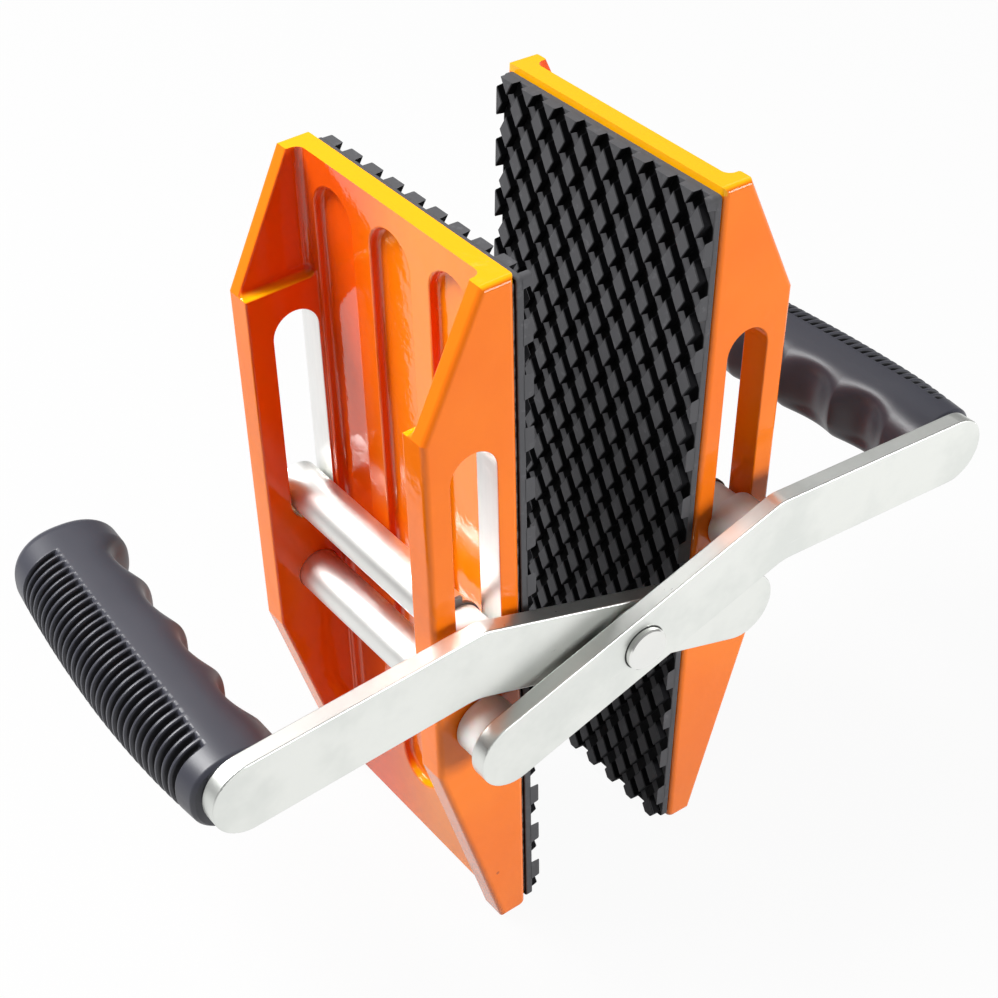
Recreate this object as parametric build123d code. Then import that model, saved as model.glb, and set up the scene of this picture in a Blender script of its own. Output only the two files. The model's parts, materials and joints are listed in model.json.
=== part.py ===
"""Slab lifting clamp: two channel jaws faced with rubber, carried by a pair of crossed handle levers.

+X runs from the left jaw to the right jaw, -Y is the side the levers lie on and +Z is up.
The jaws stand on Z = 0, and the clamp is drawn fully open, when the slack in its slots lets the jaws lean
apart a little; closed, they are parallel. Sizes are in millimetres, angles in degrees.
"""
from build123d import *
import math
import os

# Jaw castings, with depths taken outwards from the face that the rubber is bonded to
jaw_width = 102.4
jaw_height = 255.0
jaw_depth = 32.3
jaw_top_depth = 11.0
jaw_foot_depth = 10.0
plate_thickness = 6.5
cheek_thickness = 10.4
upper_wall_thickness = 6.2
ledge_height = 212.0
taper_height = 82.0
jaw_edge_radius = 2.0
jaw_inner_edge_radius = 0.8
jaw_root_radius = 0.6
upper_root_radius = 3.0
slot_edge_radius = 0.5
jaw_foot_radius = 2.5
jaw_lean_open = 1.2

# Shallow upright flutes on the channel side of the plate
flute_count = 3
flute_land = 10.0
flute_edge_land = 1.7
flute_depth = 3.0
flute_lip_radius = 0.8
flute_root_radius = 1.5
flute_top_margin = 8.5
flute_foot_margin = 22.0

# Rubber pads with a diamond tread, and the bond under them
bond_thickness = 0.6
bond_inset = 1.2
pad_base_thickness = 2.5
tread_depth = 3.0
pad_near_inset = 0.3
pad_far_inset = 2.7
pad_foot_gap = 0.3
pad_top_margin = 1.8
pad_corner_radius = 1.5
tread_pitch_across = 10.6
tread_angle = 60.0
tread_groove_width = 3.2
tread_shift_across = 2.36
tread_shift_up = -2.58

# Flat handle levers, the place of their rods and the bend outside the slide rod
bar_width = 25.0
bar_thickness = 6.0
bar_edge_radius = 0.5
bar_bend_radius = 20.0
rod_gap_open = 100.6
pivot_above_foot = 98.5
slide_rise = 31.7
bend_beyond_rod = 7.0
handle_reach = 86.7
handle_droop = 3.45
closing_angle = 47.0
inner_lever_gap = 3.75
lever_gap = 1.75

# Rods across the jaws, turned down at the lever end for a bush
rod_diameter = 15.0
journal_diameter = 11.0
rod_end_chamfer = 1.0
slot_plate_gap = 0.95
slot_side_gap = 0.28
slot_end_gap = 0.5
running_clearance = 0.05
bush_collar_diameter = 20.0
bush_edge_radius = 0.8
side_clearance = 0.2

# Retaining rings in grooves just inside the near cheeks
ring_thickness = 1.2
ring_width = 1.2
ring_groove_depth = 0.6
ring_cheek_gap = 0.7
ring_slack = 0.1
ring_opening_angle = 50.0
ring_lug_width = 4.5
ring_lug_offset = 0.75
ring_lug_height = 2.4

# Pin through both levers
pin_diameter = 12.0
pin_head_diameter = 15.0
pin_head_height = 2.2
pin_tail_diameter = 16.0
pin_tail_height = 2.0
pin_edge_chamfer = 0.5
lever_washer_diameter = 22.0
lever_washer_thickness = 1.4

# Handles: a steel core and a moulded grip that leans in towards the jaws
core_diameter = 12.0
core_end_cover = 12.0
handle_drop = 1.2
grip_length = 124.0
grip_toe_in = 3.6
grip_height = 29.4
grip_palm_reach = 20.3
grip_palm_reach_near = 16.0
grip_palm_reach_far = 17.0
grip_finger_reach = 14.7
grip_collar_reach = 16.2
grip_horn_reach = 19.0
grip_groove_depth = 3.6
grip_groove_first = 26.2
grip_groove_pitch = 24.2
grip_groove_count = 4
rib_count = 30
rib_first = 9.5
rib_pitch = 3.4
rib_slot_width = 2.0
rib_slot_depth = 1.3
rib_edge_offset = 6.5
rib_floor_sides = 18

# Places that follow from the sizes above
rod_x = rod_gap_open / 2
rod_span = math.hypot(rod_gap_open, slide_rise)
open_angle = math.degrees(math.atan2(slide_rise, rod_gap_open))
closed_rise = rod_span * math.sin(math.radians(open_angle + closing_angle))
handle_x = rod_x + handle_reach


def slide_drift(share):
    """How far the slide rod stands off the line above the pivot rod, in the jaw, at a share of the closing."""
    rise = rod_span * math.sin(math.radians(open_angle + share * closing_angle))
    return rise * math.sin(math.radians((1 - share) * jaw_lean_open))


most_drift = max(slide_drift(step / 40) for step in range(41))
slot_width = rod_diameter + most_drift + 2 * slot_side_gap
rod_set_back = plate_thickness + slot_plate_gap + slot_width / 2 + most_drift / 2
slot_x = rod_x - most_drift / 2
half_gap = rod_x - rod_set_back

lean = math.radians(jaw_lean_open)
pivot_height = pivot_above_foot * math.cos(lean) + (jaw_foot_depth - rod_set_back) * math.sin(lean)
slide_height = pivot_height + slide_rise
centre_height = pivot_height + slide_rise / 2

front_stack = inner_lever_gap + lever_gap + 2 * bar_thickness + pin_head_height
near_y = (front_stack - (grip_length - inner_lever_gap)) / 2
far_y = near_y + jaw_width
pad_width = jaw_width - pad_near_inset - pad_far_inset
pad_middle_y = near_y + pad_near_inset + pad_width / 2
pad_foot_margin = jaw_foot_radius + pad_foot_gap
flute_space = jaw_width - 2 * (cheek_thickness + flute_edge_land)
flute_width = (flute_space - (flute_count - 1) * flute_land) / flute_count
flute_pitch = flute_width + flute_land
inner_back_y = near_y - inner_lever_gap
inner_front_y = inner_back_y - bar_thickness
outer_back_y = inner_front_y - lever_gap
outer_front_y = outer_back_y - bar_thickness


def side_plane(y):
    """Plane seen from the lever side, with its own axes along +X and +Z."""
    return Plane(origin=(0, y, 0), x_dir=(1, 0, 0), z_dir=(0, -1, 0))


def side_slab(sketch, y_from, y_to):
    """Solid of a side-view sketch between two Y positions."""
    return extrude(side_plane(y_to) * sketch, amount=y_to - y_from)


def box_between(low, high):
    """Box from its low corner to its high corner."""
    size = [b - a for a, b in zip(low, high)]
    middle = [(a + b) / 2 for a, b in zip(low, high)]
    return Pos(*middle) * Box(*size)


def round_bar(x, z, y_from, y_to, diameter):
    """Cylinder along Y."""
    return Pos(x, (y_from + y_to) / 2, z) * Rot(90, 0, 0) * Cylinder(diameter / 2, y_to - y_from)


def left_of(shape):
    """Mirror image in the plane between the jaws."""
    return mirror(shape, about=Plane.YZ)


def leaned(shape):
    """Piece of the upright right jaw, turned about the pivot rod as the open jaw leans."""
    return Pos(rod_x, 0, pivot_height) * Rot(0, jaw_lean_open, 0) * Pos(-rod_x, 0, -pivot_above_foot) * shape


def jaw_outline():
    """Side view of the right jaw casting, upright."""
    outline = Polyline(
        (half_gap, 0),
        (half_gap + jaw_foot_depth, 0),
        (half_gap + jaw_depth, taper_height),
        (half_gap + jaw_depth, ledge_height),
        (half_gap + jaw_top_depth, jaw_height),
        (half_gap, jaw_height),
        close=True,
    )
    face = make_face(outline)
    foot_corner = face.vertices().sort_by_distance((half_gap, 0, 0))[0]
    return fillet(foot_corner, jaw_foot_radius)


def flute_cutters():
    """Round-ended upright recesses for the channel side of the right jaw's plate."""
    floor_x = half_gap + plate_thickness - flute_depth
    length = jaw_height - flute_top_margin - flute_foot_margin
    middle_z = flute_foot_margin + length / 2
    cutters = []
    for index in range(flute_count):
        y = near_y + jaw_width / 2 + (index - (flute_count - 1) / 2) * flute_pitch
        plane = Plane(origin=(floor_x, y, middle_z), x_dir=(0, 1, 0), z_dir=(1, 0, 0))
        cutter = extrude(plane * SlotOverall(length, flute_width, rotation=90), amount=2 * flute_depth)
        cutters.append(fillet(cutter.faces().sort_by(Axis.X)[0].edges(), flute_root_radius))
    return cutters


def cheek_cutter(wall, z_from, root_radius):
    """Space between the cheeks of the right jaw above a height, for a given wall, with rounded roots."""
    low = (half_gap + plate_thickness, near_y + wall, z_from)
    high = (half_gap + 2 * jaw_depth, far_y - wall, 2 * jaw_height)
    space = box_between(low, high)
    roots = space.faces().sort_by(Axis.X)[0].edges() + space.faces().sort_by(Axis.Z)[0].edges().filter_by(Axis.X)
    return fillet(roots, root_radius)


def jaw_openings():
    """Slot for the slide rod and hole for the pivot rod, in side view."""
    slot_low = pivot_above_foot + slide_rise - slot_end_gap
    slot_high = pivot_above_foot + closed_rise + slot_end_gap
    slot = Pos(slot_x, (slot_low + slot_high) / 2) * SlotCenterToCenter(slot_high - slot_low, slot_width, rotation=90)
    return slot + Pos(rod_x, pivot_above_foot) * Circle(rod_diameter / 2 + running_clearance)


def lies_at(edge, y):
    """Whether an edge lies in the plane at one Y."""
    return abs(edge.bounding_box().min.Y - y) < 1e-4 and abs(edge.bounding_box().max.Y - y) < 1e-4


def make_right_jaw():
    """Channel casting with two slotted cheeks, thinner above the ledge."""
    body = side_slab(jaw_outline(), near_y, far_y)
    body = fillet(body.faces().filter_by(Axis.Y).edges(), jaw_edge_radius)
    body = body - cheek_cutter(cheek_thickness, -jaw_height, jaw_root_radius)
    body = body - cheek_cutter(upper_wall_thickness, ledge_height, upper_root_radius)
    inner_planes = [near_y + cheek_thickness, far_y - cheek_thickness]
    inner_planes += [near_y + upper_wall_thickness, far_y - upper_wall_thickness]
    clear_x = half_gap + plate_thickness + 2 * upper_root_radius
    rims = [e for e in body.edges() for y in inner_planes if lies_at(e, y) and e.center().X > clear_x]
    body = fillet(rims, jaw_inner_edge_radius)
    openings = side_slab(jaw_openings(), near_y - cheek_thickness, far_y + cheek_thickness)
    body = body - openings - flute_cutters()
    cheek_planes = [near_y, near_y + cheek_thickness, far_y - cheek_thickness, far_y]
    in_mouth = slot_width / 2 + slot_edge_radius
    mouths = [e for e in body.edges() for y in cheek_planes if lies_at(e, y) and abs(e.center().X - rod_x) < in_mouth]
    mouth_top = pivot_above_foot + closed_rise + 2 * in_mouth
    mouths = [e for e in mouths if pivot_above_foot - in_mouth < e.center().Z < mouth_top]
    body = fillet(mouths, slot_edge_radius)
    plate_x = half_gap + plate_thickness
    lips = [e for e in body.edges() if abs(e.bounding_box().min.X - plate_x) < 1e-4]
    lips = [e for e in lips if abs(e.bounding_box().max.X - plate_x) < 1e-4]
    lips = [e for e in lips if flute_foot_margin - 1 < e.center().Z < jaw_height - flute_top_margin + 1]
    half_flutes = ((flute_count - 1) * flute_pitch + flute_width) / 2
    lips = [e for e in lips if abs(e.center().Y - near_y - jaw_width / 2) < half_flutes + 0.01]
    return fillet(lips, flute_lip_radius)


def pad_block(x_from, x_to, inset):
    """Plate with rounded corners on the right jaw's bonded face."""
    height = jaw_height - pad_top_margin - pad_foot_margin - 2 * inset
    middle = (x_from, pad_middle_y, pad_foot_margin + inset + height / 2)
    plane = Plane(origin=middle, x_dir=(0, 1, 0), z_dir=(1, 0, 0))
    outline = RectangleRounded(pad_width - 2 * inset, height, pad_corner_radius)
    return extrude(plane * outline, amount=x_to - x_from)


def tread_grooves(x_from, x_to, angle):
    """Parallel grooves across the pad, leaning at an angle to the level."""
    spacing = tread_pitch_across * math.sin(math.radians(tread_angle))
    reach = math.hypot(jaw_width, jaw_height)
    count = math.ceil(reach / spacing / 2)
    middle = Pos((x_from + x_to) / 2, pad_middle_y + tread_shift_across, jaw_height / 2 + tread_shift_up)
    groove = Box(x_to - x_from, reach, tread_groove_width)
    lean = middle * Rot(angle, 0, 0)
    return [lean * Pos(0, 0, (index + 0.5) * spacing) * groove for index in range(-count, count)]


def make_right_bond():
    """Layer of adhesive that holds the pad."""
    return pad_block(half_gap - bond_thickness, half_gap, bond_inset)


def make_right_pad():
    """Rubber sheet whose working face is cut into diamond blocks."""
    back_x = half_gap - bond_thickness
    face_x = back_x - pad_base_thickness - tread_depth
    floor_x = face_x + tread_depth
    pad = pad_block(face_x, back_x, 0)
    for angle in (tread_angle, -tread_angle):
        pad = pad - tread_grooves(face_x - tread_depth, floor_x, angle)
    return pad


def lever_outline():
    """Side view of the lever that carries the right handle."""
    slope = math.radians(open_angle)
    droop = math.radians(handle_droop)
    foot = Vector(-rod_x, pivot_height)
    bend_x = rod_x + bend_beyond_rod
    bend = Vector(bend_x, pivot_height + (bend_x + rod_x) * math.tan(slope))
    end = Vector(handle_x, bend.Y - (handle_x - bend_x) * math.tan(droop))
    lower = SlotCenterToCenter((bend - foot).length, bar_width, rotation=math.degrees(slope))
    upper = SlotCenterToCenter((end - bend).length, bar_width, rotation=-math.degrees(droop))
    lower_middle = (foot + bend) * 0.5
    upper_middle = (bend + end) * 0.5
    outline = Pos(lower_middle.X, lower_middle.Y) * lower + Pos(upper_middle.X, upper_middle.Y) * upper
    half_turn = (slope + droop) / 2
    towards_inside = (slope - droop) / 2 - math.pi / 2
    inside = bar_width / 2 / math.cos(half_turn)
    corner = (bend.X + inside * math.cos(towards_inside), bend.Y + inside * math.sin(towards_inside), 0)
    notch = outline.vertices().sort_by_distance(corner)[0]
    return fillet(notch, bar_bend_radius), end


def make_bar(front_y, pin_clearance):
    """Flat bar with a bend, its rim slightly rounded and a hole for the centre pin."""
    outline, _ = lever_outline()
    bar = side_slab(outline, front_y, front_y + bar_thickness)
    bar = fillet(bar.faces().filter_by(Axis.Y).edges(), bar_edge_radius)
    return bar - round_bar(0, centre_height, front_y, front_y + bar_thickness, pin_diameter + 2 * pin_clearance)


def make_rod(x, z, lever_back_y):
    """Rod across a jaw: a journal in the near cheek, a shoulder, a ring groove and a plain far end."""
    shoulder_y = near_y + cheek_thickness + side_clearance
    groove_from = near_y + cheek_thickness + ring_cheek_gap - ring_slack
    groove_to = groove_from + ring_thickness + 2 * ring_slack
    shaft = round_bar(x, z, shoulder_y, far_y, rod_diameter)
    shaft = chamfer(shaft.faces().sort_by(Axis.Y)[-1].edges(), rod_end_chamfer)
    groove = round_bar(x, z, groove_from, groove_to, rod_diameter)
    groove = groove - round_bar(x, z, groove_from, groove_to, rod_diameter - 2 * ring_groove_depth)
    return shaft - groove + round_bar(x, z, lever_back_y, shoulder_y, journal_diameter)


def make_bush(x, z, lever_back_y):
    """Collared bush: the collar spaces the lever off the cheek, the sleeve lines the cheek's opening."""
    collar = round_bar(x, z, lever_back_y, near_y - side_clearance, bush_collar_diameter)
    collar = fillet(collar.edges().filter_by(GeomType.CIRCLE), bush_edge_radius)
    sleeve = round_bar(x, z, near_y - side_clearance, near_y + cheek_thickness, rod_diameter)
    bore_diameter = journal_diameter + 2 * running_clearance
    return collar + sleeve - round_bar(x, z, lever_back_y, near_y + cheek_thickness, bore_diameter)


def make_ring(x, z):
    """Retaining ring, open below, with a flat lug on top that leans to the open side of the channel."""
    inner = rod_diameter / 2 - ring_groove_depth + running_clearance
    outer = inner + ring_width
    reach = 2 * outer
    half_open = math.radians(ring_opening_angle / 2)
    mouth = make_face(
        Polyline(
            (0, 0),
            (-reach * math.sin(half_open), -reach * math.cos(half_open)),
            (reach * math.sin(half_open), -reach * math.cos(half_open)),
            close=True,
        )
    )
    outward = math.copysign(ring_lug_offset, x)
    lug_top = outer + ring_lug_height
    lug = Pos(outward, lug_top / 2) * Rectangle(ring_lug_width, lug_top)
    sketch = Circle(outer) - mouth + lug - Circle(inner)
    y_from = near_y + cheek_thickness + ring_cheek_gap
    return side_slab(Pos(x, z) * sketch, y_from, y_from + ring_thickness)


def make_pin():
    """Centre pin with a flat head in front of the outer lever and a closed tail behind the inner one."""
    head = round_bar(0, centre_height, outer_front_y - pin_head_height, outer_front_y, pin_head_diameter)
    head = chamfer(head.faces().sort_by(Axis.Y)[0].edges(), pin_edge_chamfer)
    shank = round_bar(0, centre_height, outer_front_y, inner_back_y + side_clearance, pin_diameter)
    tail_from = inner_back_y + side_clearance
    tail = round_bar(0, centre_height, tail_from, tail_from + pin_tail_height, pin_tail_diameter)
    tail = chamfer(tail.faces().sort_by(Axis.Y)[-1].edges(), pin_edge_chamfer)
    return head + shank + tail


def make_lever_washer():
    """Washer that keeps the two levers apart on the centre pin."""
    bore = pin_diameter + 2 * running_clearance
    to_y = outer_back_y + lever_washer_thickness
    disc = round_bar(0, centre_height, outer_back_y, to_y, lever_washer_diameter)
    return disc - round_bar(0, centre_height, outer_back_y, to_y, bore)


def handle_place(lever_back_y):
    """Frame at the right handle: its origin on the lever's back, its own Y along the grip."""
    _, end = lever_outline()
    return Pos(handle_x, lever_back_y, end.Y - handle_drop) * Rot(0, 0, grip_toe_in)


def behind_lever(lever_back_y):
    """Large block behind a lever's back face, which trims what is welded or pushed against it."""
    reach = 4 * grip_length
    return box_between((-reach, lever_back_y, -reach), (reach, lever_back_y + reach, reach))


def make_core(lever_back_y):
    """Steel core of the right handle, trimmed flat where it is welded to the lever."""
    bar = round_bar(0, 0, -core_diameter, grip_length - core_end_cover, core_diameter)
    return handle_place(lever_back_y) * bar & behind_lever(lever_back_y)


def palm_reach(place):
    """Reach of the swelling palm side at a distance along the grip."""
    middle = grip_length / 2
    end_reach = grip_palm_reach_near if place < middle else grip_palm_reach_far
    share = min(1.0, abs(place - middle) / middle)
    return grip_palm_reach - (grip_palm_reach - end_reach) * share ** 2


def finger_stations():
    """Distances along the grip with the finger side's reach there: collar, grooves and crests."""
    stations = [(place, grip_collar_reach) for place in (-core_diameter, 0.0, 0.4 * grip_groove_first)]
    for index in range(grip_groove_count):
        place = grip_groove_first + index * grip_groove_pitch
        stations.append((place, grip_finger_reach - grip_groove_depth))
        if index < grip_groove_count - 1:
            stations.append((place + grip_groove_pitch / 2, grip_finger_reach))
    return stations


def grip_section(place, palm, finger, height):
    """Oval cross-section of the right grip, whose fingers close on the jaw side."""
    plane = Plane(origin=((palm - finger) / 2, place, 0), x_dir=(1, 0, 0), z_dir=(0, 1, 0))
    return plane * Ellipse((palm + finger) / 2, height / 2)


def grip_form():
    """Waved oval body of the grip with a blunt horn at the free end."""
    stations = finger_stations()
    sections = [grip_section(place, palm_reach(max(0.0, place)), reach, grip_height) for place, reach in stations]
    last_groove = stations[-1][0]
    crown = ((0.55, 1.0, 1.0), (0.8, 0.98, 0.99), (0.93, 0.87, 0.9), (0.985, 0.68, 0.72), (1.0, 0.42, 0.45))
    for along, palm_share, finger_share in crown:
        place = last_groove + along * (grip_length - last_groove)
        finger = finger_share * grip_horn_reach
        sections.append(grip_section(place, palm_share * palm_reach(place), finger, palm_share * grip_height))
    return loft(sections)


def rib_slot(place):
    """One slot between two ribs, round the palm side of the grip, with a many-sided floor."""
    front = place - rib_slot_width / 2
    back = place + rib_slot_width / 2
    low = (rib_edge_offset, front, -grip_height)
    high = (2 * grip_palm_reach, back, grip_height)
    rise = palm_reach(place) - rib_slot_depth - rib_edge_offset
    half_chord = grip_height / 2 - rib_slot_depth
    floor_radius = (rise ** 2 + half_chord ** 2) / (2 * rise)
    floor_outline = Pos(rib_edge_offset + rise - floor_radius, 0) * RegularPolygon(floor_radius, rib_floor_sides)
    return box_between(low, high) - side_slab(floor_outline, front, back)


def make_grip_body():
    """Right grip at its own origin: finger grooves on the jaw side, ribs on the palm side, a blind bore."""
    slots = [rib_slot(rib_first + index * rib_pitch) for index in range(rib_count)]
    bore = round_bar(0, 0, -2 * core_diameter, grip_length - core_end_cover, core_diameter + 2 * running_clearance)
    return grip_form() - slots - bore


def make_all():
    """Every node of the clamp by name, drawn open."""
    right_jaw = leaned(make_right_jaw())
    right_bond = leaned(make_right_bond())
    right_pad = leaned(make_right_pad())
    grip_body = make_grip_body()
    return {
        "left_jaw": left_of(right_jaw),
        "right_jaw": right_jaw,
        "left_pad_bond": left_of(right_bond),
        "right_pad_bond": right_bond,
        "left_pad": left_of(right_pad),
        "right_pad": right_pad,
        "inner_lever_bar": left_of(make_bar(inner_front_y, running_clearance)),
        "outer_lever_bar": make_bar(outer_front_y, 0),
        "left_handle_core": left_of(make_core(inner_back_y)),
        "right_handle_core": make_core(outer_back_y),
        "left_grip": left_of(handle_place(inner_back_y) * grip_body) & behind_lever(inner_back_y),
        "right_grip": handle_place(outer_back_y) * grip_body & behind_lever(outer_back_y),
        "left_slide_rod": make_rod(-rod_x, slide_height, inner_back_y),
        "right_slide_rod": make_rod(rod_x, slide_height, outer_back_y),
        "left_pivot_rod": make_rod(-rod_x, pivot_height, outer_back_y),
        "right_pivot_rod": make_rod(rod_x, pivot_height, inner_back_y),
        "left_slide_bush": make_bush(-rod_x, slide_height, inner_back_y),
        "right_slide_bush": make_bush(rod_x, slide_height, outer_back_y),
        "left_pivot_bush": make_bush(-rod_x, pivot_height, outer_back_y),
        "right_pivot_bush": make_bush(rod_x, pivot_height, inner_back_y),
        "left_slide_ring": make_ring(-rod_x, slide_height),
        "right_slide_ring": make_ring(rod_x, slide_height),
        "left_pivot_ring": make_ring(-rod_x, pivot_height),
        "right_pivot_ring": make_ring(rod_x, pivot_height),
        "centre_pin": make_pin(),
        "lever_washer": make_lever_washer(),
    }


os.makedirs("parts", exist_ok=True)
for node, shape in make_all().items():
    export_step(shape, f"parts/{node}.step")
print("jaw bottoms at 0, near cheek face at", round(near_y, 3))
print("joint places", round(rod_x, 4), round(pivot_height, 4), round(centre_height, 4))
print("slot width", round(slot_width, 3), "half gap", round(half_gap, 3), "set back", round(rod_set_back, 3))
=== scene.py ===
"""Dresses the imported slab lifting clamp: treaded pads, ribbed grips, finishes, studio and camera.

All places are in the shared frame. Sizes are in millimetres unless a name says otherwise, and are turned into
metres where a mesh is made. The studio's sizes are in metres.
"""
from __future__ import annotations

import json
import logging
import math
from dataclasses import dataclass, field
from enum import Enum
from typing import Any

import bmesh
import bpy
from mathutils import Matrix, Vector

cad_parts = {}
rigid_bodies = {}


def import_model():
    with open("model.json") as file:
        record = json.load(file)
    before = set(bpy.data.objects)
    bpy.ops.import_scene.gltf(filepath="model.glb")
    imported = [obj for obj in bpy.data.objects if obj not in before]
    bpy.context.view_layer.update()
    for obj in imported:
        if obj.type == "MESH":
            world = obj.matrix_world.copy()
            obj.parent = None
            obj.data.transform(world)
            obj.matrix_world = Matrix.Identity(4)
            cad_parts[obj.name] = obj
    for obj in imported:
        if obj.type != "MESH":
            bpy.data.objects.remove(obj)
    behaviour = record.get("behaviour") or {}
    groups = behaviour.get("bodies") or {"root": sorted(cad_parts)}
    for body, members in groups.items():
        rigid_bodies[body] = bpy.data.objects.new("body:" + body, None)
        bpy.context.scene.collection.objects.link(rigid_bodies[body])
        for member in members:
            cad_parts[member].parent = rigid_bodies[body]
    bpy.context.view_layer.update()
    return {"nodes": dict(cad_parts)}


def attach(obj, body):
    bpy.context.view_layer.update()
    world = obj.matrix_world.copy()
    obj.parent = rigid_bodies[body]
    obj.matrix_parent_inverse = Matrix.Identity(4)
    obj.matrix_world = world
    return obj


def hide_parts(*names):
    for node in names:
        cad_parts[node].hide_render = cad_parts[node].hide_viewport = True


LOG = logging.getLogger("slab_clamp")
MM = 0.001
WHITE = (1.0, 1.0, 1.0, 1.0)

Colour = tuple[float, float, float]
Point = tuple[float, float, float]


class Side(Enum):
    """Which half of the clamp a piece belongs to, with the sign of its X."""

    LEFT = -1
    RIGHT = 1

    @property
    def word(self) -> str:
        """Name of the side as the nodes spell it."""
        return self.name.lower()


def add_object(name: str, data: bpy.types.ID) -> bpy.types.Object:
    """Make an object of a mesh, lamp or camera in the scene.

    Args:
        name: Name of the object.
        data: What it shows.

    Returns:
        The object.
    """
    made = bpy.data.objects.new(name, data)
    bpy.context.scene.collection.objects.link(made)
    return made


class Wire:
    """An output socket that takes part in Python arithmetic by adding Math nodes to its tree."""

    def __init__(self, tree: Tree, socket: bpy.types.NodeSocket) -> None:
        """Keep the output socket and the tree that adds further nodes."""
        self.tree = tree
        self.socket = socket

    def __add__(self, other: Wire | float) -> Wire:
        """Sum of two values."""
        return self.tree.math("ADD", self, other)

    def __radd__(self, other: float) -> Wire:
        """Sum with a plain number on the left."""
        return self.tree.math("ADD", other, self)

    def __sub__(self, other: Wire | float) -> Wire:
        """Difference of two values."""
        return self.tree.math("SUBTRACT", self, other)

    def __rsub__(self, other: float) -> Wire:
        """Difference from a plain number."""
        return self.tree.math("SUBTRACT", other, self)

    def __mul__(self, other: Wire | float) -> Wire:
        """Product of two values."""
        return self.tree.math("MULTIPLY", self, other)

    def __rmul__(self, other: float) -> Wire:
        """Product with a plain number on the left."""
        return self.tree.math("MULTIPLY", other, self)

    def __truediv__(self, other: Wire | float) -> Wire:
        """Quotient of two values."""
        return self.tree.math("DIVIDE", self, other)

    def __pow__(self, other: Wire | float) -> Wire:
        """Power of a value."""
        return self.tree.math("POWER", self, other)

    def __abs__(self) -> Wire:
        """Size of a value."""
        return self.tree.math("ABSOLUTE", self)

    def step(self, low: float, high: float) -> Wire:
        """Smooth rise from 0 at one value to 1 at another.

        Args:
            low: Value where the rise starts.
            high: Value where it ends; below low for a fall.

        Returns:
            The smoothed share, from 0 to 1.
        """
        if low > high:
            return 1.0 - self.step(high, low)
        names = {"Value": self, "From Min": low, "From Max": high, "To Min": 0.0, "To Max": 1.0}
        return self.tree.wire("ShaderNodeMapRange", {"interpolation_type": "SMOOTHSTEP"}, names)

    def off_row(self, pitch: float) -> Wire:
        """Distance from the nearest of evenly spaced rows, one of which is at 0."""
        beat = self / pitch
        return abs(beat - self.tree.math("ROUND", beat)) * pitch


class Tree:
    """A node tree with one method that makes its nodes."""

    def __init__(self, nodes: bpy.types.NodeTree) -> None:
        """Wrap the node tree to fill."""
        self.nodes = nodes

    @staticmethod
    def pick(sockets: Any, key: str | int) -> bpy.types.NodeSocket:
        """Socket by its place, or the first in use by its name."""
        named = (socket for socket in sockets if socket.name == key and socket.enabled)
        return sockets[key] if isinstance(key, int) else next(named)

    def add(self, kind: str, settings: dict[str, Any] | None = None,
            inputs: dict[str | int, Any] | None = None) -> bpy.types.Node:
        """Make one node, set it up and feed it.

        Args:
            kind: Blender's type name of the node.
            settings: The node's own properties.
            inputs: Values, wires or lists of wires by socket.

        Returns:
            The new node.
        """
        node = self.nodes.nodes.new(kind)
        for name, value in (settings or {}).items():
            setattr(node, name, value)
        for key, value in (inputs or {}).items():
            socket = self.pick(node.inputs, key)
            for part in value if isinstance(value, list) else [value]:
                self.plug(part, socket)
        return node

    def plug(self, value: Any, socket: bpy.types.NodeSocket) -> None:
        """Give an input socket a wire or a plain value.

        Args:
            value: The wire or value.
            socket: The input socket.
        """
        if isinstance(value, Wire):
            self.nodes.links.new(value.socket, socket)
        else:
            socket.default_value = value

    def wire(self, kind: str, settings: dict[str, Any] | None = None,
             inputs: dict[str | int, Any] | None = None, output: str | int = 0) -> Wire:
        """Make one node in the same way and return one of its outputs."""
        return Wire(self, self.pick(self.add(kind, settings, inputs).outputs, output))

    def math(self, operation: str, *values: Wire | float) -> Wire:
        """Result of a Math node."""
        return self.wire("ShaderNodeMath", {"operation": operation}, dict(enumerate(values)))

    def split(self, vector: Wire) -> tuple[Wire, Wire, Wire]:
        """Three coordinates of a vector."""
        node = self.add("ShaderNodeSeparateXYZ", None, {0: vector})
        return tuple(Wire(self, socket) for socket in node.outputs)

    def join(self, x: Wire | float, y: Wire | float, z: Wire | float) -> Wire:
        """Vector of three coordinates."""
        return self.wire("ShaderNodeCombineXYZ", None, {0: x, 1: y, 2: z})

    def ray_kinds(self) -> tuple[Wire, Wire]:
        """Tell the rays that see the background from those that only light.

        Returns:
            Mask of the camera's rays, and mask of mirrored and refracted rays.
        """
        path = self.add("ShaderNodeLightPath")
        kinds = ("Is Camera Ray", "Is Glossy Ray", "Is Transmission Ray")
        camera, glossy, refracted = (Wire(self, path.outputs[kind]) for kind in kinds)
        return camera, self.math("MAXIMUM", glossy, refracted)


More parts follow.
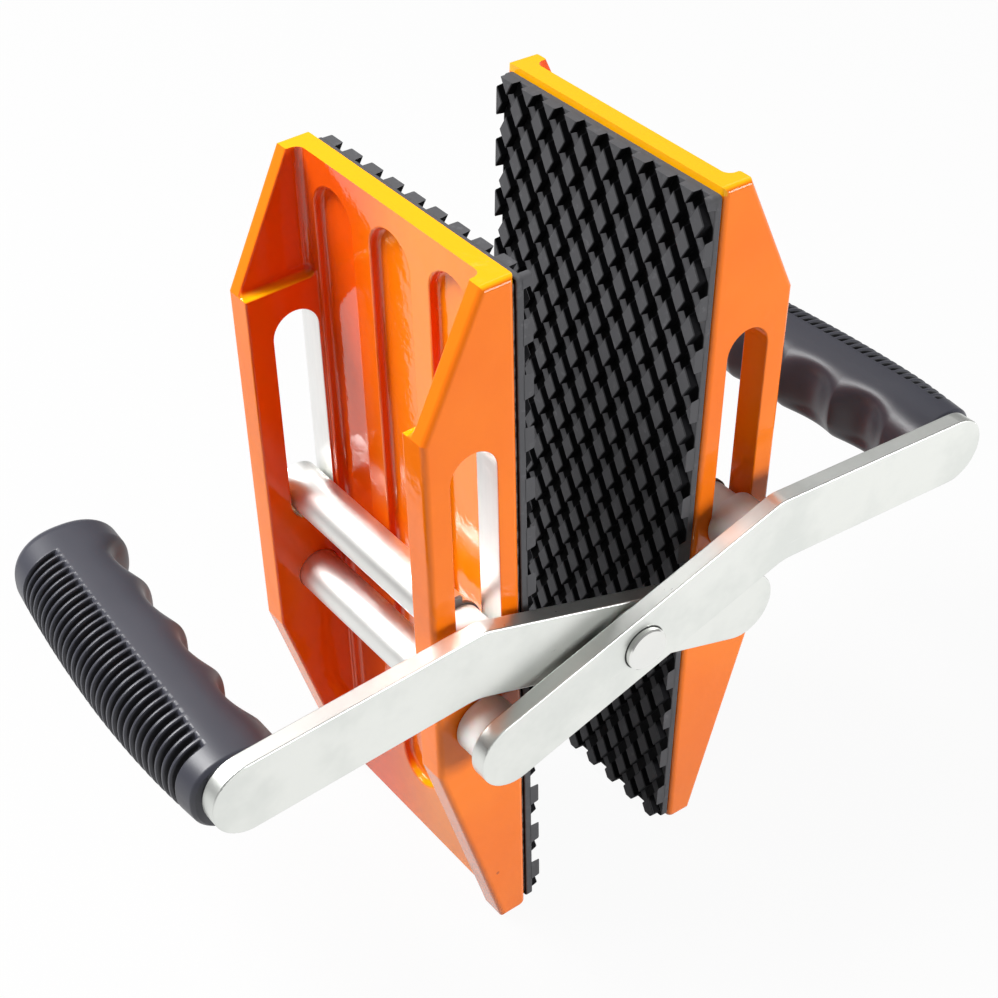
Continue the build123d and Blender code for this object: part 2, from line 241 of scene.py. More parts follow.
class Shader(Tree):
    """The node tree of a material, with the coordinates and textures the finishes share."""

    def __init__(self, name: str) -> None:
        """Make a material with a surface shader.

        Args:
            name: Name of the material.
        """
        self.material = bpy.data.materials.new(name)
        self.material.use_nodes = True
        super().__init__(self.material.node_tree)
        self.nodes.nodes.clear()
        self.surface = self.add("ShaderNodeBsdfPrincipled")
        self.values: dict[str, Any] = {}
        surface = Wire(self, self.surface.outputs[0])
        self.output = self.add("ShaderNodeOutputMaterial", None, {"Surface": surface})
        coordinates = self.add("ShaderNodeTexCoord")
        self.facing = Wire(self, coordinates.outputs["Normal"])
        scaled = {0: Wire(self, coordinates.outputs["Object"]), "Scale": 1.0 / MM}
        self.place = self.wire("ShaderNodeVectorMath", {"operation": "SCALE"}, scaled)

    def set(self, **values: Any) -> None:
        """Feed the surface shader and remember what it was given."""
        self.values.update(values)
        self.feed(self.surface, values)

    def feed(self, surface: bpy.types.Node, values: dict[str, Any]) -> None:
        """Give a surface shader values or wires by socket name, with underscores for spaces."""
        for name, value in values.items():
            self.plug(value, surface.inputs[name.replace("_", " ")])

    def mix_in(self, share: Wire, other: Wire) -> None:
        """Lay a share of another shader over the surface shader."""
        inputs = {0: share, 1: Wire(self, self.surface.outputs[0]), 2: other}
        self.plug(self.wire("ShaderNodeMixShader", None, inputs), self.output.inputs[0])

    def overlay(self, share: Wire, **changes: Any) -> None:
        """Mix in a second surface shader that differs from the first in a few values.

        Args:
            share: How much of the second.
            changes: What differs, by socket name.
        """
        second = self.add("ShaderNodeBsdfPrincipled")
        self.feed(second, {**self.values, **changes})
        self.mix_in(share, Wire(self, second.outputs[0]))

    def stretched(self, x: float, y: float, z: float) -> Wire:
        """The place in millimetres, scaled along each axis."""
        return self.wire("ShaderNodeVectorMath", {"operation": "MULTIPLY"}, {0: self.place, 1: (x, y, z)})

    def noise(self, scale: float, detail: float = 2.0, roughness: float = 0.5,
              vector: Wire | None = None) -> Wire:
        """Soft noise from 0 to 1, in waves per millimetre of the place or of another vector."""
        inputs = {"Vector": vector or self.place, "Scale": scale, "Detail": detail, "Roughness": roughness}
        return self.wire("ShaderNodeTexNoise", None, inputs, "Fac")

    def specks(self, scale: float, size: float) -> Wire:
        """Mask of sparse small dots, by cells per millimetre and a dot's reach in cells."""
        inputs = {"Vector": self.place, "Scale": scale}
        return self.wire("ShaderNodeTexVoronoi", None, inputs, "Distance").step(size, 0.5 * size)

    def blend(self, share: Wire, first: Wire | Colour, second: Wire | Colour) -> Wire:
        """First colour mixed with a share of the second."""
        a, b = (value if isinstance(value, Wire) else (*value, 1.0) for value in (first, second))
        return self.wire("ShaderNodeMix", {"data_type": "RGBA"}, {"Factor": share, "A": a, "B": b}, "Result")

    def bump(self, height: Wire, distance: float) -> Wire:
        """Normal bent by a height, where 1 stands for a distance in millimetres."""
        inputs = {"Height": height, "Distance": distance * MM, "Strength": 1.0}
        return self.wire("ShaderNodeBump", None, inputs)

    def stored(self, name: str) -> Wire:
        """A value stored on the mesh."""
        return self.wire("ShaderNodeAttribute", {"attribute_name": name}, None, "Fac")


@dataclass(frozen=True)
class JawStand:
    """How the jaws stand on the open clamp: upright, then leaned about the pivot rod."""

    lean: float = 1.2
    rod_x: float = 50.3
    pivot_along: float = 98.5
    pivot_height: float = 98.3519

    def place(self, side: Side) -> Matrix:
        """Where an upright piece of the right jaw goes.

        Args:
            side: Which jaw it is for.

        Returns:
            Matrix from the upright right jaw to that side's leaning jaw.
        """
        turn = Matrix.Rotation(math.radians(self.lean), 4, "Y")
        lean = Matrix.Translation((self.rod_x, 0, self.pivot_height)) @ turn
        lean = lean @ Matrix.Translation((-self.rod_x, 0, -self.pivot_along))
        return Matrix.Diagonal((side.value, 1, 1, 1)) @ lean


@dataclass(frozen=True)
class TreadLattice:
    """Where the diamond blocks stand on an upright pad, and the grooves between them."""

    pitch: float = 10.6
    angle: float = 60.0
    groove: float = 3.2
    block_y: float = 2.08
    block_z: float = 124.92

    @property
    def spacing(self) -> float:
        """Distance between neighbouring rows of blocks."""
        return self.pitch * math.sin(math.radians(self.angle))

    @property
    def half_block(self) -> float:
        """Distance from a block's middle to each of its sides."""
        return (self.spacing - self.groove) / 2

    def groove_masks(self, y: Wire, z: Wire) -> list[Wire]:
        """Find the two sets of slanting grooves.

        Args:
            y: Place across the pad.
            z: Place up the pad.

        Returns:
            For each slant, a mask that is 1 in its grooves.
        """
        slant = math.radians(self.angle)
        across, up = (y - self.block_y) * math.sin(slant), (z - self.block_z) * math.cos(slant)
        edge = self.half_block
        return [row.off_row(self.spacing).step(edge - 0.1, edge + 0.1) for row in (across + up, across - up)]


@dataclass(frozen=True)
class RibRow:
    """The narrow slots across the palm side of a grip."""

    first: float = 9.5
    pitch: float = 3.4
    count: int = 30
    half_width: float = 1.15
    edge: float = 6.5

    def mask(self, along: Wire, across: Wire, lip: tuple[float, float], start: tuple[float, float]) -> Wire:
        """Find the slots.

        Args:
            along: Place along the grip.
            across: Place across it, towards the palm.
            lip: How far outside its width a slot begins and is full.
            start: How far past the edge the row begins and is full.

        Returns:
            Mask that is 1 in a slot.
        """
        row = along - self.first
        end = (self.count - 0.5) * self.pitch
        soft = 0.05 * self.pitch
        in_row = row.step(-self.pitch / 2, -self.pitch / 2 + soft) * row.step(end, end - soft)
        in_slot = row.off_row(self.pitch).step(*(self.half_width + value for value in lip))
        return in_slot * in_row * across.step(*(self.edge + value for value in start))


@dataclass(frozen=True)
class Finish:
    """What every finish has: a name for its material and a way to fill it."""

    name: str

    def paint(self, shader: Shader) -> None:
        """Fill the material's tree.

        Args:
            shader: The tree to fill.
        """
        raise NotImplementedError

    def material(self) -> bpy.types.Material:
        """The finish as a material, made once.

        Returns:
            The material.
        """
        made = bpy.data.materials.get(self.name)
        if made is None:
            shader = Shader(self.name)
            self.paint(shader)
            made = shader.material
        return made


@dataclass(frozen=True)
class PowderCoat(Finish):
    """Glossy orange coat on a casting, with orange peel and a machined slot wall that stays bare; it also
    carries painted shade inside the channel and painted light on the plate's near side and on upward faces.
    """

    side: Side
    colour: Colour = (0.90, 0.195, 0.004)
    dark: Colour = (0.86, 0.165, 0.003)
    # Painted shade: deeper, redder coat colour for the faces inside the channel.
    inner: Colour = (0.84, 0.092, 0.002)
    # Painted light: paler, yellower coat on the near side of the plate inside the channel.
    bright: Colour = (0.96, 0.255, 0.003)
    # Painted light: yellow coat on upward faces and the top rim, where strong top light falls.
    sunny: Colour = (0.94, 0.42, 0.003)
    speck: Colour = (0.22, 0.04, 0.01)
    bare: Colour = (0.97, 0.97, 0.95)
    bare_dull: Colour = (0.82, 0.83, 0.82)
    coat_index: float = 1.38
    plate_index: float = 1.62
    peel_height: float = 0.13
    middle_y: float = 0.925
    half_channel: float = 41.0
    half_upper: float = 45.2
    ledge: float = 212.0
    # Where the plate's painted light begins and where it is full.
    bright_from: float = 28.0
    bright_full: float = -15.0
    # Height from which the top rim takes the painted top light.
    rim_height: float = 252.4
    slot_middle: float = 49.9
    slot_half_width: float = 9.0
    slot_low: float = 116.0
    slot_high: float = 206.0
    stand: JawStand = JawStand()

    def paint(self, shader: Shader) -> None:
        """Fill the material's tree.

        Args:
            shader: The tree to fill.
        """
        x, y, z = shader.split(shader.place)
        facing_x, facing_y, facing_z = shader.split(shader.facing)
        sign = float(self.side.value)
        outward = facing_x * sign
        tilt = math.tan(math.radians(self.stand.lean))
        across = x * sign - (z - self.stand.pivot_height) * tilt - self.slot_middle
        in_slot = abs(across).step(self.slot_half_width, self.slot_half_width - 0.4)
        in_slot = in_slot * z.step(self.slot_low, self.slot_low + 1.0)
        in_slot = in_slot * z.step(self.slot_high, self.slot_high - 1.0)
        bare = in_slot * abs(facing_y).step(0.75, 0.45) * outward.step(0.05, 0.25)
        wider = self.half_upper - self.half_channel
        half_space = self.half_channel + wider * z.step(self.ledge - 0.5, self.ledge)
        inside = (abs(y - self.middle_y) - half_space).step(0.25, 0.05)
        cloud = shader.noise(0.018, 3.0)
        coat = shader.blend(cloud.step(0.3, 0.7), self.colour, self.dark)
        # Painted shade: faces inside the channel take the deeper inner colour.
        coat = shader.blend(inside, coat, self.inner)
        plate = inside * outward.step(0.5, 0.8)
        # Painted light: the plate grows paler and yellower towards its near side.
        coat = shader.blend(plate * y.step(self.bright_from, self.bright_full), coat, self.bright)
        # Painted light: upward faces and the top strip of the inner face are coloured yellow.
        rim = z.step(self.rim_height, self.rim_height + 0.4) * outward.step(-0.3, -0.7)
        coat = shader.blend(shader.math("MAXIMUM", facing_z.step(0.5, 0.95), rim), coat, self.sunny)
        drawn = shader.noise(0.5, 4.0, 0.6, shader.stretched(1.0, 1.0, 0.12))
        metal = shader.blend(drawn, self.bare, self.bare_dull)
        dust = shader.specks(0.06, 0.05) * shader.noise(0.03).step(0.55, 0.65)
        coat = shader.blend(dust * 0.6, coat, self.speck)
        peel = shader.noise(0.28, 2.0, 0.5) * 0.7 + shader.noise(0.08, 1.0) * 1.5
        shader.set(
            Base_Color=shader.blend(bare, coat, metal),
            Metallic=bare,
            Roughness=0.05 + bare * 0.3 + shader.noise(0.05) * 0.05,
            IOR=self.coat_index,
            Normal=shader.bump(peel, self.peel_height),
        )
        shader.overlay(plate, IOR=self.plate_index)


@dataclass(frozen=True)
class ZincPlate(Finish):
    """Bright zinc on flat bar: cloudy, faintly brushed along the bar and lightly scratched, with a painted
    shadow ring round the centre pin.
    """

    colour: Colour = (0.82, 0.835, 0.80)
    dull: Colour = (0.71, 0.73, 0.70)
    scratched: Colour = (0.93, 0.93, 0.91)
    stained: Colour = (0.30, 0.28, 0.26)
    # Painted shadow: near-black colour of the ring round the centre pin.
    oily: Colour = (0.02, 0.02, 0.02)
    rough: float = 0.24
    pin_height: float = 114.2
    pin_radius: float = 7.5

    def paint(self, shader: Shader) -> None:
        """Fill the material's tree.

        Args:
            shader: The tree to fill.
        """
        cloud = shader.noise(0.035, 4.0, 0.6)
        brushed = shader.noise(1.4, 3.0, 0.6, shader.stretched(0.03, 1.0, 0.9))
        scratch = shader.noise(0.9, 2.0, 0.5, shader.stretched(0.06, 1.0, 1.4)).step(0.70, 0.78)
        stain = shader.specks(0.045, 0.07) * shader.noise(0.02).step(0.5, 0.62)
        colour = shader.blend(cloud.step(0.38, 0.72), self.colour, self.dull)
        colour = shader.blend(scratch * 0.35, colour, self.scratched)
        colour = shader.blend(stain * 0.5, colour, self.stained)
        x, _, z = shader.split(shader.place)
        # Painted shadow: a dark ring just outside the pin's radius on the bar.
        from_pin = (x * x + (z - self.pin_height) ** 2.0) ** 0.5
        pin_shadow_ring = from_pin.step(self.pin_radius + 0.6, self.pin_radius + 0.2)
        colour = shader.blend(pin_shadow_ring, colour, self.oily)
        shader.set(
            Base_Color=colour,
            Metallic=1.0,
            Roughness=self.rough + cloud * 0.16 + brushed * 0.08 - scratch * 0.1,
            Normal=shader.bump(brushed * 0.5 + cloud * 1.5, 0.02),
        )


@dataclass(frozen=True)
class TurnedSteel(Finish):
    """Bright turned rod, with fine rings round its axis and a few dark specks."""

    colour: Colour = (0.90, 0.90, 0.87)
    dull: Colour = (0.80, 0.81, 0.79)
    speck: Colour = (0.10, 0.09, 0.08)
    rough: float = 0.36

    def paint(self, shader: Shader) -> None:
        """Fill the material's tree.

        Args:
            shader: The tree to fill.
        """
        rings = shader.noise(2.2, 2.0, 0.6, shader.stretched(0.02, 1.0, 0.02))
        cloud = shader.noise(0.06, 3.0)
        specks = shader.specks(0.11, 0.06) * shader.noise(0.05).step(0.5, 0.6)
        colour = shader.blend(cloud, self.colour, self.dull)
        colour = shader.blend(specks * 0.8, colour, self.speck)
        shader.set(
            Base_Color=colour,
            Metallic=1.0,
            Roughness=self.rough + cloud * 0.14 + rings * 0.06,
            Normal=shader.bump(rings, 0.006),
        )


@dataclass(frozen=True)
class OiledSpring(Finish):
    """Dark oiled spring steel of the retaining rings."""

    colour: Colour = (0.10, 0.10, 0.11)
    pale: Colour = (0.20, 0.19, 0.18)

    def paint(self, shader: Shader) -> None:
        """Fill the material's tree.

        Args:
            shader: The tree to fill.
        """
        cloud = shader.noise(0.4, 3.0)
        shader.set(
            Base_Color=shader.blend(cloud, self.colour, self.pale),
            Metallic=0.85,
            Roughness=0.34 + cloud * 0.2,
            Normal=shader.bump(shader.noise(1.5, 2.0), 0.01),
        )


@dataclass(frozen=True)
class WhiteNylon(Finish):
    """Milky white nylon of the bushes and the washer, with faint turning rings."""

    colour: Colour = (0.86, 0.86, 0.84)
    dull: Colour = (0.78, 0.78, 0.76)
    smudged: Colour = (0.55, 0.54, 0.52)

    def paint(self, shader: Shader) -> None:
        """Fill the material's tree.

        Args:
            shader: The tree to fill.
        """
        cloud = shader.noise(0.12, 3.0)
        rings = shader.noise(1.6, 2.0, 0.5, shader.stretched(0.05, 1.0, 0.05))
        smudge = shader.noise(0.2, 4.0, 0.6).step(0.62, 0.8)
        colour = shader.blend(cloud, self.colour, self.dull)
        shader.set(
            Base_Color=shader.blend(smudge * 0.35, colour, self.smudged),
            Roughness=0.38 + cloud * 0.14,
            Subsurface_Weight=0.2,
            Subsurface_Scale=0.002,
            Normal=shader.bump(rings, 0.01),
        )


@dataclass(frozen=True)
class TreadRubber(Finish):
    """Black moulded rubber: pale faces that are partly dust and wear and partly painted light, painted shadow
    in the grooves of one slant and a fine mould grain.
    """

    colour: Colour = (0.003, 0.003, 0.004)
    pale: Colour = (0.006, 0.006, 0.007)
    dusty: Colour = (0.120, 0.120, 0.127)
    lattice: TreadLattice = TreadLattice()
    # The lean of the jaw lifts the groove floors by this much.
    floor_lift: float = 0.28

    def paint(self, shader: Shader) -> None:
        """Fill the material's tree.

        Args:
            shader: The tree to fill.
        """
        bloom = shader.noise(0.05, 4.0, 0.6)
        grain = shader.noise(2.4, 3.0, 0.6)
        rub = shader.noise(0.35, 3.0, 0.6).step(0.55, 0.8)
        _, y, z = shader.split(shader.place)
        facing_x, _, _ = shader.split(shader.facing)
        # Painted shadow: the floors of the grooves of one slant are darkened, except where the grooves of the
        # other slant cross them.
        rising, falling = self.lattice.groove_masks(y, z - self.floor_lift)
        painted_groove_shadow = rising * (1.0 - falling) * abs(facing_x).step(0.9, 0.95)
        worn = shader.stored("worn") * (1.0 - painted_groove_shadow * 0.95)
        colour = shader.blend(bloom, self.colour, self.pale)
        # Wear mixed with painted light: the stored pale share lightens tops, floors and sides, while the
        # groove walls keep the black.
        colour = shader.blend(worn * (0.7 + rub * 0.3), colour, self.dusty)
        shader.set(
            Base_Color=colour,
            Roughness=0.72 - worn * 0.2 + grain * 0.1 + bloom * 0.08,
            Specular_IOR_Level=0.08,
            Normal=shader.bump(grain, 0.03),
        )


@dataclass(frozen=True)
class CuredBond(Finish):
    """Smear of grey adhesive under the pad."""

    colour: Colour = (0.05, 0.045, 0.045)
    pale: Colour = (0.34, 0.33, 0.33)

    def paint(self, shader: Shader) -> None:
        """Fill the material's tree.

        Args:
            shader: The tree to fill.
        """
        smear = shader.noise(0.25, 4.0, 0.6)
        shader.set(
            Base_Color=shader.blend(smear.step(0.35, 0.65), self.colour, self.pale),
            Roughness=0.35 + smear * 0.3,
            Normal=shader.bump(shader.noise(0.8, 3.0), 0.08),
        )


@dataclass(frozen=True)
class GripPlastic(Finish):
    """Satin dark grey moulded plastic with a fine spark-eroded grain, and painted shade on the floors of the
    slots.
    """

    colour: Colour = (0.031, 0.032, 0.044)
    pale: Colour = (0.044, 0.045, 0.059)
    # Painted shade: near-black colour on the floors of the slots.
    slot_floor: Colour = (0.004, 0.004, 0.005)
    dusty: Colour = (0.20, 0.20, 0.20)
    ribs: RibRow = RibRow()

    def paint(self, shader: Shader) -> None:
        """Fill the material's tree.

        Args:
            shader: The tree to fill.
        """
        cloud = shader.noise(0.04, 3.0)
        grain = shader.noise(3.0, 2.0, 0.6)
        groove = self.ribs.mask(shader.stored("along"), shader.stored("across"), (0.07, -0.13), (0.0, 0.8))
        dust = shader.specks(0.12, 0.05) * shader.noise(0.04).step(0.5, 0.62)
        colour = shader.blend(cloud, self.colour, self.pale)
        # Painted shade: the slots are coloured near black.
        colour = shader.blend(groove * 0.9, colour, self.slot_floor)
        colour = shader.blend(dust * 0.35, colour, self.dusty)
        shader.set(
            Base_Color=colour,
            Roughness=0.32 + grain * 0.08 + cloud * 0.08 + groove * 0.4,
            Specular_IOR_Level=0.5,
            Normal=shader.bump(grain, 0.012),
        )


class GeometryTree(Tree):
    """A geometry node group with named size inputs."""

    def __init__(self, name: str, sizes: dict[str, float]) -> None:
        """Make the group and its sockets.

        Args:
            name: Name of the group.
            sizes: Default value of each named size.
        """
        super().__init__(bpy.data.node_groups.new(name, "GeometryNodeTree"))
        interface = self.nodes.interface
        interface.new_socket("Geometry", in_out="OUTPUT", socket_type="NodeSocketGeometry")
        block = interface.new_socket("Pattern", in_out="INPUT", socket_type="NodeSocketObject")
        coat = interface.new_socket("Finish", in_out="INPUT", socket_type="NodeSocketMaterial")
        self.identifiers = {"Pattern": block.identifier, "Finish": coat.identifier}
        for size, value in sizes.items():
            socket = interface.new_socket(size, in_out="INPUT", socket_type="NodeSocketFloat")
            socket.default_value = value
            self.identifiers[size] = socket.identifier
        entry = self.add("NodeGroupInput")
        self.given = {size: Wire(self, entry.outputs[size]) for size in self.identifiers}

    def end(self, geometry: Wire) -> None:
        """Realize the geometry, give it its finish and hand it out.

        Args:
            geometry: The finished geometry.
        """
        real = self.wire("GeometryNodeRealizeInstances", None, {"Geometry": geometry})
        coat = {"Geometry": real, "Material": self.given["Finish"]}
        painted = self.wire("GeometryNodeSetMaterial", None, coat)
        self.add("NodeGroupOutput", None, {"Geometry": painted})

    def bake(self, name: str, finish: bpy.types.Material, values: dict[str, Any]) -> bpy.types.Object:
        """Run the group once and keep the result as a plain mesh object.

        Args:
            name: Name of the new object.
            finish: Its material.
            values: Inputs that differ from the defaults.

        Returns:
            The object, linked to the scene.
        """
        carrier = add_object(name + "_carrier", bpy.data.meshes.new(name + "_carrier"))
        modifier = carrier.modifiers.new("build", "NODES")
        modifier.node_group = self.nodes
        for key, value in {"Finish": finish, **values}.items():
            modifier[self.identifiers[key]] = value
        bpy.context.view_layer.update()
        evaluated = carrier.evaluated_get(bpy.context.evaluated_depsgraph_get())
        mesh = bpy.data.meshes.new_from_object(evaluated)
        bpy.data.objects.remove(carrier)
        return add_object(name, mesh)


def settle(made: bpy.types.Object, place: Matrix) -> None:
    """Put a mesh in its place in the frame, in metres, with its faces outwards.

    Args:
        made: The object, at the origin and in millimetres.
        place: Where it goes, in millimetres.
    """
    made.data.transform(Matrix.Scale(MM, 4) @ place)
    work = bmesh.new()
    work.from_mesh(made.data)
    bmesh.ops.remove_doubles(work, verts=work.verts, dist=1e-7)
    bmesh.ops.recalc_face_normals(work, faces=work.faces)
    work.to_mesh(made.data)
    work.free()
    made.data.update()


@dataclass
class TreadPad:
    """Rubber pad of one jaw: a base sheet with rows of diamond blocks cut off flush at its outline."""

    side: Side
    finish: Finish
    half_gap: float = 34.259
    bond: float = 0.6
    base: float = 2.5
    tread: float = 3.0
    width: float = 99.4
    height: float = 250.4
    foot: float = 2.8
    corner: float = 1.5
    middle_y: float = -0.275
    sheet_bevel: float = 0.35
    draft: float = 0.22
    block_root: float = 0.6
    block_bevel: float = 0.3
    columns: int = 12
    rows: int = 30
    # Painted light: groove floors and bevels are paler than the bare rubber; the bevels' share is a painted
    # edge highlight.
    floor_wear: float = 0.9
    bevel_wear: float = 0.5
    lattice: TreadLattice = TreadLattice()
    stand: JawStand = JawStand()

    @property
    def back(self) -> float:
        """Where the pad meets its bond."""
        return self.half_gap - self.bond

    @property
    def floor(self) -> float:
        """Where the grooves end."""
        return self.back - self.base

    def outline(self, x_from: float, x_to: float, soft: float) -> bpy.types.Mesh:
        """Plate with rounded corners in the pad's outline.

        Args:
            x_from: Face nearer to the slab.
            x_to: Face nearer to the jaw.
            soft: Width of the bevel round both faces.

        Returns:
            A closed mesh in millimetres.
        """
        work = bmesh.new()
        half_y = self.width / 2 - self.corner
        half_z = self.height / 2 - self.corner
        middle_z = self.foot + self.height / 2
        corners = []
        for turn, (sign_y, sign_z) in enumerate(((1, 1), (-1, 1), (-1, -1), (1, -1))):
            for step in range(7):
                angle = math.radians(90 * turn + 15 * step)
                y = self.middle_y + sign_y * half_y + self.corner * math.cos(angle)
                z = middle_z + sign_z * half_z + self.corner * math.sin(angle)
                corners.append(work.verts.new((x_from, y, z)))
        face = work.faces.new(corners)
        raised = bmesh.ops.extrude_face_region(work, geom=[face])["geom"]
        moved = [item for item in raised if isinstance(item, bmesh.types.BMVert)]
        bmesh.ops.translate(work, verts=moved, vec=(x_to - x_from, 0, 0))
        bmesh.ops.recalc_face_normals(work, faces=work.faces)
        if soft > 0:
            rims = [edge for edge in work.edges if abs(edge.verts[0].co.x - edge.verts[1].co.x) < 1e-6]
            bmesh.ops.bevel(work, geom=rims, offset=soft, segments=2, profile=0.5, affect="EDGES")
        mesh = bpy.data.meshes.new("pad_outline")
        work.to_mesh(mesh)
        work.free()
        return mesh

    def block(self) -> bpy.types.Object:
        """One diamond block with soft edges, standing on the base at the origin.

        Returns:
            The block as an object, for the tree's pattern input.
        """
        slant = math.radians(self.lattice.angle)
        work = bmesh.new()
        rings = []
        for x, inset in ((self.block_root, 0.0), (-self.tread, self.draft)):
            half = self.lattice.half_block - inset
            reach_y, reach_z = half / math.sin(slant), half / math.cos(slant)
            points = ((reach_y, 0), (0, reach_z), (-reach_y, 0), (0, -reach_z))
            rings.append([work.verts.new((x, y, z)) for y, z in points])
        work.faces.new(rings[0])
        work.faces.new(rings[1])
        for index in range(4):
            after = (index + 1) % 4
            work.faces.new((rings[0][index], rings[0][after], rings[1][after], rings[1][index]))
        bmesh.ops.recalc_face_normals(work, faces=work.faces)
        top = [edge for edge in work.edges if all(vert.co.x < 0 for vert in edge.verts)]
        sides = [edge for edge in work.edges if abs(edge.verts[0].co.x - edge.verts[1].co.x) > 1]
        bmesh.ops.bevel(work, geom=top + sides, offset=self.block_bevel, segments=2, profile=0.5,
                        affect="EDGES")
        mesh = bpy.data.meshes.new("tread_block")
        work.to_mesh(mesh)
        work.free()
        return add_object("tread_block", mesh)

    def tree(self, cutter: bpy.types.Object) -> GeometryTree:
        """Geometry nodes that set the blocks on a rhombic lattice and cut them at the outline.

        Args:
            cutter: Plate whose outline the blocks keep to.

        Returns:
            The finished group.
        """
        pitch = self.lattice.pitch
        sizes = {"Step across": pitch, "Step up": self.lattice.spacing, "Floor": self.floor,
                 "Middle": self.lattice.block_y - pitch / 2, "Level": self.lattice.block_z}
        tree = GeometryTree("tread_blocks", sizes)
        counts = {"Vertices X": self.columns, "Vertices Y": self.rows,
                  "Size X": self.columns - 1.0, "Size Y": self.rows - 1.0}
        grid = tree.wire("GeometryNodeMeshGrid", None, counts, "Mesh")
        column, row, _ = tree.split(tree.wire("GeometryNodeInputPosition"))
        odd = tree.math("FLOORED_MODULO", row + self.rows / 2 - 0.5, 2.0)
        y = (column + odd * 0.5) * tree.given["Step across"] + tree.given["Middle"]
        z = (row + 0.5) * tree.given["Step up"] + tree.given["Level"]
        lattice = {"Geometry": grid, "Position": tree.join(tree.given["Floor"], y, z)}
        points = tree.wire("GeometryNodeSetPosition", None, lattice)
        block = tree.wire("GeometryNodeObjectInfo", None, {"Object": tree.given["Pattern"]}, "Geometry")
        blocks = tree.wire("GeometryNodeInstanceOnPoints", None, {"Points": points, "Instance": block})
        real = tree.wire("GeometryNodeRealizeInstances", None, {"Geometry": blocks})
        plate = tree.wire("GeometryNodeObjectInfo", None, {"Object": cutter}, "Geometry")
        settings = {"operation": "INTERSECT", "solver": "MANIFOLD"}
        cut = tree.wire("GeometryNodeMeshBoolean", settings, {"Mesh": [real, plate]}, "Mesh")
        tree.end(cut)
        return tree

    def mark_wear(self, pad: bpy.types.Object) -> None:
        """Store how pale each face is, partly as rubbed wear and partly as painted light: tops, groove floors
        and outer sides pale, bevels half pale as a painted edge highlight, groove walls left black.

        Args:
            pad: The upright pad, in millimetres.
        """
        attribute = pad.data.attributes.new("worn", "FLOAT", "FACE")
        half_y, half_z = self.width / 2, self.height / 2
        below_top = self.floor - self.tread + self.block_bevel + 0.05
        values = []
        for face in pad.data.polygons:
            middle = face.center
            rim_y = abs(middle.y - self.middle_y) - half_y
            rim_z = abs(middle.z - self.foot - half_z) - half_z
            if face.normal.x < -0.95:
                values.append(1.0 if middle.x < self.floor - 0.5 else self.floor_wear)
            elif max(rim_y, rim_z) > -self.sheet_bevel - 0.05:
                values.append(1.0)
            else:
                values.append(self.bevel_wear if middle.x < below_top else 0.0)
        attribute.data.foreach_set("value", values)

    def build(self) -> bpy.types.Object:
        """Make the pad and hand it to its jaw.

        Returns:
            The finished pad.
        """
        finish = self.finish.material()
        name = f"{self.side.word}_tread_pad"
        space = self.outline(self.floor - 2 * self.tread, self.floor + 0.5, 0.0)
        clip = add_object("pad_clip", space)
        block = self.block()
        pad = self.tree(clip).bake(name, finish, {"Pattern": block})
        for helper in (clip, block):
            bpy.data.objects.remove(helper)
        work = bmesh.new()
        work.from_mesh(pad.data)
        work.from_mesh(self.outline(self.floor, self.back, self.sheet_bevel))
        work.to_mesh(pad.data)
        work.free()
        self.mark_wear(pad)
        settle(pad, self.stand.place(self.side))
        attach(pad, f"{self.side.word}_jaw")
        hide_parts(f"{self.side.word}_pad")
        return pad


